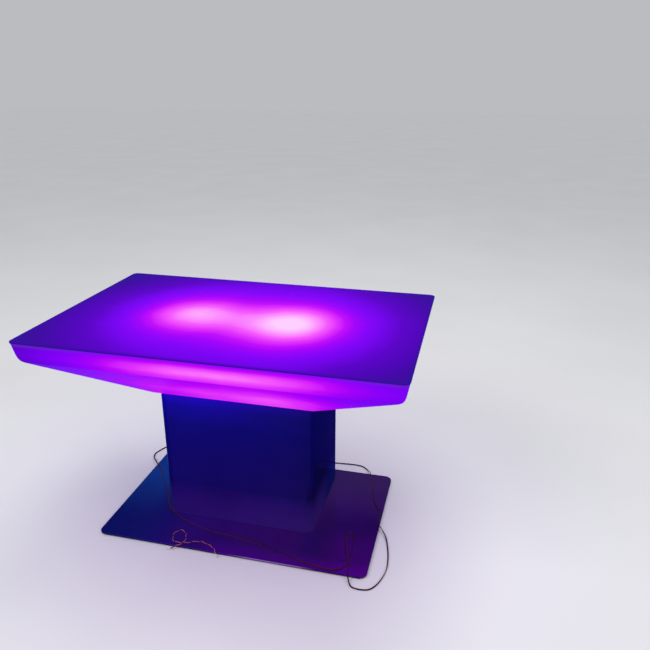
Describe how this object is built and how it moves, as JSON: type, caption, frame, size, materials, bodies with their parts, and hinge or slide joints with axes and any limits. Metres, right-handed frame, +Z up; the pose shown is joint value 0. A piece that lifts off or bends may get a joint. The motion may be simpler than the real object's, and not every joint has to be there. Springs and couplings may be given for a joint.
{
  "type": "light-up table",
  "caption": "Rectangular light-up table: a flat opal panel on a tapering opal hull with lamps inside, on a polished steel column and base plate, with its supply lead.",
  "frame": {"origin": "on the floor, straight below the middle of the table top", "axes": "+X along the long side of the top, to the right in the picture; +Y away from the viewer's long side; +Z up"},
  "size_m": [1.2, 0.76, 0.72],
  "materials": {
    "opal_panel": "translucent polyethylene panel, satin, lit from inside in blue to magenta",
    "opal_hull": "translucent rotomoulded polyethylene, fine matte grain, lit from inside",
    "column_steel": "polished stainless steel sheet, nearly a mirror",
    "plate_steel": "polished stainless steel plate, nearly a mirror",
    "zinc": "bright zinc-plated steel",
    "aluminium": "plain mill finish",
    "rubber": "black moulded rubber",
    "black_plastic": "black moulded plastic",
    "red_plastic": "dark red switch rocker",
    "white_plastic": "white moulded plastic and white board lacquer",
    "lens_plastic": "opal diffuser",
    "terminal_plastic": "green terminal housing",
    "lead_sheath": "dark red PVC sheath",
    "offcut_sheath": "red and pink insulation, twisted",
    "nickel": "nickel plate"
  },
  "bodies": {
    "table": {"adapter_housing": "black_plastic", "adapter_pin_left": "nickel", "adapter_pin_right": "nickel", "adapter_sleeve": "rubber", "base_plate": "plate_steel", "cable_grommet": "rubber", "coil_tie": "black_plastic", "column": "column_steel", "controller_box": "white_plastic", "controller_lid": "black_plastic", "foot_bolt_back_left": "zinc", "foot_bolt_back_right": "zinc", "foot_bolt_front_left": "zinc", "foot_bolt_front_right": "zinc", "head_bolt_back_left": "zinc", "head_bolt_back_right": "zinc", "head_bolt_front_left": "zinc", "head_bolt_front_right": "zinc", "head_nut_back_left": "zinc", "head_nut_back_right": "zinc", "head_nut_front_left": "zinc", "head_nut_front_right": "zinc", "heat_sink_left": "aluminium", "heat_sink_right": "aluminium", "hull": "opal_hull", "lamp_tray": "aluminium", "lamp_wire_left": "black_plastic", "lamp_wire_right": "black_plastic", "lead_clip_lower": "white_plastic", "lead_clip_upper": "white_plastic", "lead_coil": "lead_sheath", "lead_run": "lead_sheath", "lead_tail": "lead_sheath", "led_board_left": "white_plastic", "led_board_right": "white_plastic", "lens_left": "lens_plastic", "lens_right": "lens_plastic", "pad_back_left": "rubber", "pad_back_right": "rubber", "pad_front_left": "rubber", "pad_front_right": "rubber", "remote_eye": "black_plastic", "riser_lead": "lead_sheath", "switch_body": "black_plastic", "switch_lead": "lead_sheath", "terminal_block": "terminal_plastic", "tray_screw_back_left": "zinc", "tray_screw_back_right": "zinc", "tray_screw_front_left": "zinc", "tray_screw_front_right": "zinc", "wire_offcut": "offcut_sheath"},
    "top_panel": {"top_panel": "opal_panel"},
    "rocker": {"rocker": "red_plastic"}
  },
  "joints": [
    {"name": "panel_lift", "type": "slide", "parent": "table", "child": "top_panel", "axis": [0, 0, 1], "range_m": [0, 0.25]},
    {"name": "rocker_tilt", "type": "hinge", "parent": "table", "child": "rocker", "pos_m": [-0.06, 0.2283, 0.056], "axis": [1, 0, 0], "range_deg": [-20, 0]}
  ]
}
